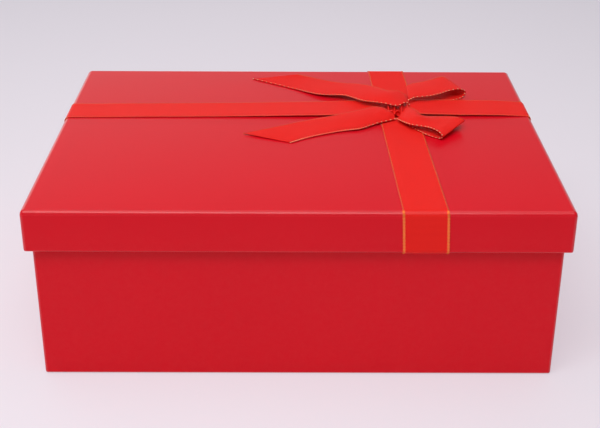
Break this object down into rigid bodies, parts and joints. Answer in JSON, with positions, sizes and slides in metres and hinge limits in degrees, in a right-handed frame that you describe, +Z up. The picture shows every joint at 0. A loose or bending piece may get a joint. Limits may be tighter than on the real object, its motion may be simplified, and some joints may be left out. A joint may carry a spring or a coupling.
{
  "type": "gift box",
  "caption": "Rigid two-piece gift box: paper-wrapped board tray with a lift-off lid, crossed ribbon bands and a tied bow on top.",
  "frame": {"origin": "on the table, under the middle of the box", "axes": "+X to the right along the box's long side, +Y to the back, +Z up"},
  "size_m": [0.301, 0.2326, 0.1149],
  "materials": {
    "wrap_paper": "satin laminated red paper",
    "lining_paper": "matte uncoated red paper",
    "grey_board": "raw grey board",
    "stay_paper": "gummed kraft paper",
    "adhesive_tape": "double-sided tape",
    "ribbon_fabric": "fine-ribbed woven ribbon with gold edge threads"
  },
  "bodies": {
    "base": {"base_floor_board": "grey_board", "base_front_board": "grey_board", "base_back_board": "grey_board", "base_left_board": "grey_board", "base_right_board": "grey_board", "base_stay_front_left": "stay_paper", "base_stay_front_right": "stay_paper", "base_stay_back_left": "stay_paper", "base_stay_back_right": "stay_paper", "base_wrap": "wrap_paper", "base_underside_sheet": "wrap_paper", "base_lining": "lining_paper"},
    "lid": {"lid_top_board": "grey_board", "lid_front_board": "grey_board", "lid_back_board": "grey_board", "lid_left_board": "grey_board", "lid_right_board": "grey_board", "lid_stay_front_left": "stay_paper", "lid_stay_front_right": "stay_paper", "lid_stay_back_left": "stay_paper", "lid_stay_back_right": "stay_paper", "lid_wrap": "wrap_paper", "lid_lining": "lining_paper", "ribbon_long_band": "ribbon_fabric", "ribbon_cross_band": "ribbon_fabric", "ribbon_tab_left": "adhesive_tape", "ribbon_tab_right": "adhesive_tape", "ribbon_tab_front": "adhesive_tape", "ribbon_tab_back": "adhesive_tape", "bow_knot": "ribbon_fabric", "bow_loop_back": "ribbon_fabric", "bow_loop_front": "ribbon_fabric", "bow_tail_back": "ribbon_fabric", "bow_tail_front": "ribbon_fabric"}
  },
  "joints": [
    {"name": "lid_lift", "type": "slide", "parent": "base", "child": "lid", "axis": [0, 0, 1], "range_m": [0, 0.12]}
  ]
}
